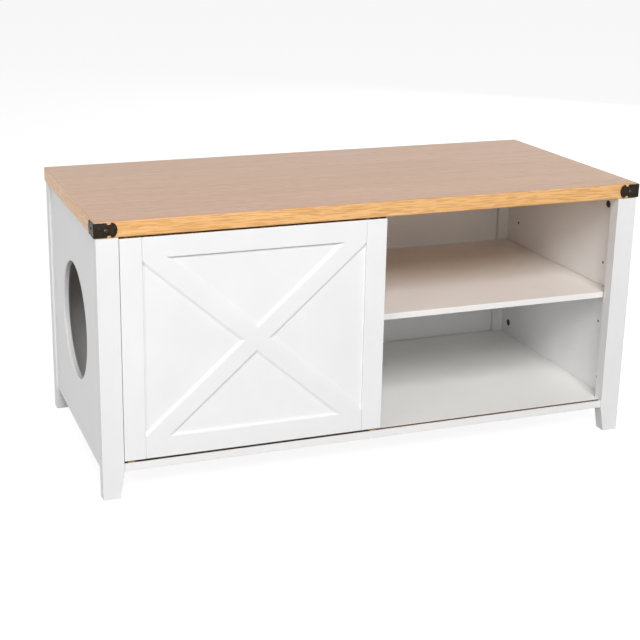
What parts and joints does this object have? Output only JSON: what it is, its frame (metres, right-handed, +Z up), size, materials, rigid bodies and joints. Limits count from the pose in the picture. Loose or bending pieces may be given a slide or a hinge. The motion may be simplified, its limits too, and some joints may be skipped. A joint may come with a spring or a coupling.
{
  "type": "cat litter box cabinet",
  "caption": "Low white cat litter box cabinet with a thick oak-look top, black corner brackets, a round cat hole in its left side, a sliding X-braced barn door and an open side with a shelf.",
  "frame": {"origin": "on the floor, under the middle of the top board", "axes": "+X along the front to the viewer's right, +Y from the front to the back, +Z up"},
  "size_m": [1.1072, 0.5016, 0.528],
  "materials": {
    "oak_foil_board": "satin oak-look foil on board, fine grain along the width",
    "white_foil_board": "satin white foil on fibreboard",
    "black_iron": "dark antique, satin",
    "tan_nylon": "moulded, matt",
    "cast_zinc": "dark die-cast zinc",
    "bright_steel": "zinc plated",
    "beech": "bare, ribbed"
  },
  "bodies": {
    "cabinet": {"top_board": "oak_foil_board", "corner_bracket_left": "black_iron", "corner_bracket_right": "black_iron", "bracket_nail_left_front": "black_iron", "bracket_nail_left_side": "black_iron", "bracket_nail_right_front": "black_iron", "bracket_nail_right_side": "black_iron", "leg_front_left": "white_foil_board", "leg_front_right": "white_foil_board", "leg_rear_left": "white_foil_board", "leg_rear_right": "white_foil_board", "side_panel_left": "white_foil_board", "side_panel_right": "white_foil_board", "bottom_board": "white_foil_board", "partition": "white_foil_board", "back_panel": "white_foil_board", "shelf": "white_foil_board", "shelf_pin_left_front": "bright_steel", "shelf_pin_left_rear": "bright_steel", "shelf_pin_right_front": "bright_steel", "shelf_pin_right_rear": "bright_steel", "cam_left_front_upper": "cast_zinc", "cam_left_front_lower": "cast_zinc", "cam_left_rear_upper": "cast_zinc", "cam_left_rear_lower": "cast_zinc", "cam_right_front_upper": "cast_zinc", "cam_right_front_lower": "cast_zinc", "cam_right_rear_upper": "cast_zinc", "cam_right_rear_lower": "cast_zinc", "cam_bolt_left_front_upper": "bright_steel", "cam_bolt_left_front_lower": "bright_steel", "cam_bolt_left_rear_upper": "bright_steel", "cam_bolt_left_rear_lower": "bright_steel", "cam_bolt_right_front_upper": "bright_steel", "cam_bolt_right_front_lower": "bright_steel", "cam_bolt_right_rear_upper": "bright_steel", "cam_bolt_right_rear_lower": "bright_steel", "top_dowel_left_front": "beech", "top_dowel_left_rear": "beech", "top_dowel_right_front": "beech", "top_dowel_right_rear": "beech", "bottom_dowel_left_front": "beech", "bottom_dowel_left_rear": "beech", "bottom_dowel_right_front": "beech", "bottom_dowel_right_rear": "beech", "partition_dowel_front": "beech", "partition_dowel_rear": "beech", "partition_screw_front": "bright_steel", "partition_screw_rear": "bright_steel"},
    "door": {"door_stile_left": "white_foil_board", "door_stile_right": "white_foil_board", "door_panel": "white_foil_board", "door_glide_left": "tan_nylon", "door_glide_right": "tan_nylon", "door_guide_pin_left": "tan_nylon", "door_guide_pin_right": "tan_nylon"}
  },
  "joints": [
    {"name": "door_slide", "type": "slide", "parent": "cabinet", "child": "door", "axis": [1, 0, 0], "range_m": [0, 0.5]}
  ]
}
